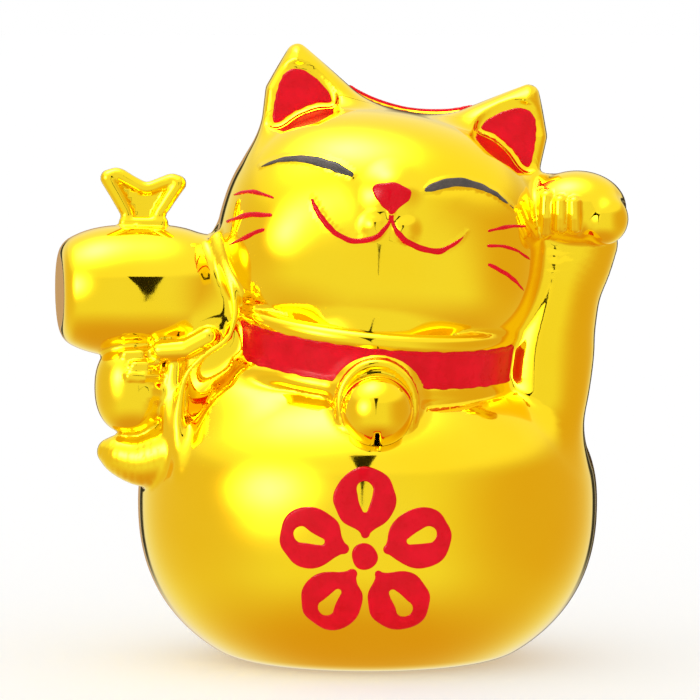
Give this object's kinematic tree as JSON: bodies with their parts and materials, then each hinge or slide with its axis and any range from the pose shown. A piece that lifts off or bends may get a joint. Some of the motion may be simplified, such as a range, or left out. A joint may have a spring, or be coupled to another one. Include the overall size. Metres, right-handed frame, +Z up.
{
  "type": "beckoning cat money bank",
  "caption": "Hollow mirror-gold beckoning cat money bank with a coin slot in the head and a pull-out stopper under its base.",
  "frame": {"origin": "middle of the bounding box at the surface the figure stands on", "axes": "+X to the viewer's right, +Y to the back (the cat looks towards -Y), +Z up"},
  "size_m": [0.1182, 0.0834, 0.1281],
  "materials": {
    "gold_plate": "vacuum-metallised mirror gold",
    "red_enamel": "brushed-on gloss paint",
    "eye_paint": "brushed-on satin paint",
    "stopper_rubber": "matt soft rubber"
  },
  "bodies": {
    "figure": {"front_shell": "gold_plate", "rear_shell": "gold_plate", "base_plate": "gold_plate", "bell": "gold_plate", "left_ear_paint": "red_enamel", "right_ear_paint": "red_enamel", "left_eye_paint": "eye_paint", "right_eye_paint": "eye_paint", "nose_paint": "red_enamel", "mouth_paint": "red_enamel", "left_whisker_paint": "red_enamel", "right_whisker_paint": "red_enamel", "collar_paint": "red_enamel", "slot_rim_paint": "red_enamel", "belly_emblem": "red_enamel"},
    "stopper": {"base_stopper": "stopper_rubber"}
  },
  "joints": [
    {"name": "stopper_pull", "type": "slide", "parent": "figure", "child": "stopper", "axis": [0, 0, -1], "range_m": [0, 0.012]}
  ]
}
